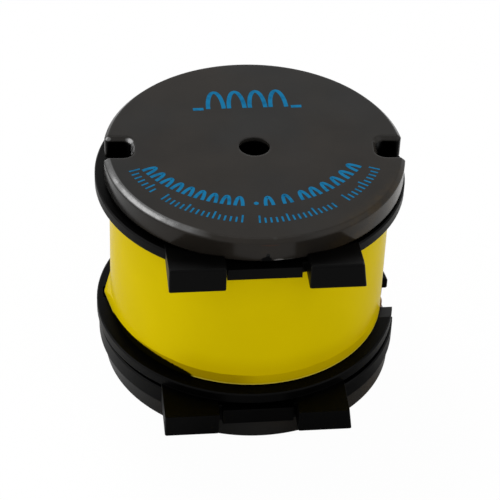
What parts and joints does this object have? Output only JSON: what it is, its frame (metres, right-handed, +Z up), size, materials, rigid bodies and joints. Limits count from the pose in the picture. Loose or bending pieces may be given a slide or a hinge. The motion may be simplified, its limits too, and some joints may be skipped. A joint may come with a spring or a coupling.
{
  "type": "roller core inductor",
  "caption": "Roller core inductor: taped copper winding on a black coil former between two ferrite discs with a central bore.",
  "frame": {"origin": "centre of the bore in the base face of the lower core half", "axes": "+Z up along the core's bore, -Y towards the four feet, +X to the right seen from the feet"},
  "size_m": [0.0579, 0.0614, 0.0478],
  "materials": {
    "ferrite": "satin",
    "former_plastic": "satin",
    "copper": "enamelled",
    "tape": "gloss"
  },
  "bodies": {
    "root": {"upper_core_half": "ferrite", "lower_core_half": "ferrite", "coil_former": "former_plastic", "winding": "copper", "tape_wrap": "tape"}
  },
  "joints": []
}
